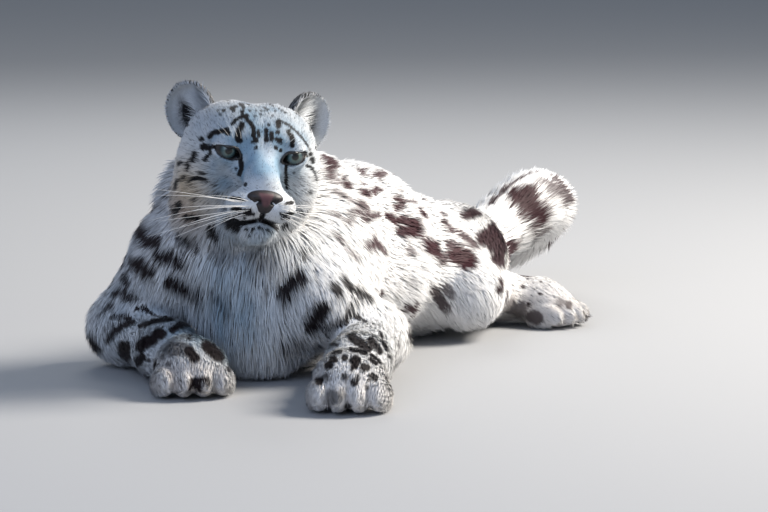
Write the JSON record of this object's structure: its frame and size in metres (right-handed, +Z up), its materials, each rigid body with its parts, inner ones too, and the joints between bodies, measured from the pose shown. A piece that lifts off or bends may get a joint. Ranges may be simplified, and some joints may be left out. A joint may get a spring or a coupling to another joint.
{
  "type": "snow leopard, lying, still life-size model",
  "caption": "Life-size snow leopard lying on its chest with raised head, hind legs to one side and a thick tail arched behind the rump.",
  "frame": {"origin": "on the floor under the chest, at the flat the chest rests on", "axes": "+Z up, the body runs along +Y from chest to rump, the chest faces -Y, the animal's left is +X"},
  "size_m": [0.5834, 1.0982, 0.3505],
  "materials": {
    "body_coat": "long soft fur, pale grey to white with dark brown rosettes",
    "face_coat": "short fur, bluish grey with small black spots",
    "ear_coat": "short grey fur with dark edges",
    "leg_coat": "short dense fur, cream grey with black bars and spots",
    "tail_coat": "long thick fur, white with dark brown rings and spots",
    "eye": "wet, grey green iris with round dark pupil",
    "nose_leather": "damp, dark pink with darker edge"
  },
  "bodies": {
    "root": {"torso": "body_coat", "neck": "body_coat", "head": "face_coat", "eye_left": "eye", "ear_left": "ear_coat", "eye_right": "eye", "ear_right": "ear_coat", "nose": "nose_leather", "right_fore_upper": "leg_coat", "right_fore_lower": "leg_coat", "right_fore_paw": "leg_coat", "left_fore_upper": "leg_coat", "left_fore_lower": "leg_coat", "left_fore_paw": "leg_coat", "right_hind_upper": "leg_coat", "right_hind_lower": "leg_coat", "right_hind_paw": "leg_coat", "left_hind_upper": "leg_coat", "left_hind_lower": "leg_coat", "left_hind_paw": "leg_coat", "tail_1": "tail_coat", "tail_2": "tail_coat", "tail_3": "tail_coat", "tail_4": "tail_coat", "tail_5": "tail_coat"}
  },
  "joints": []
}
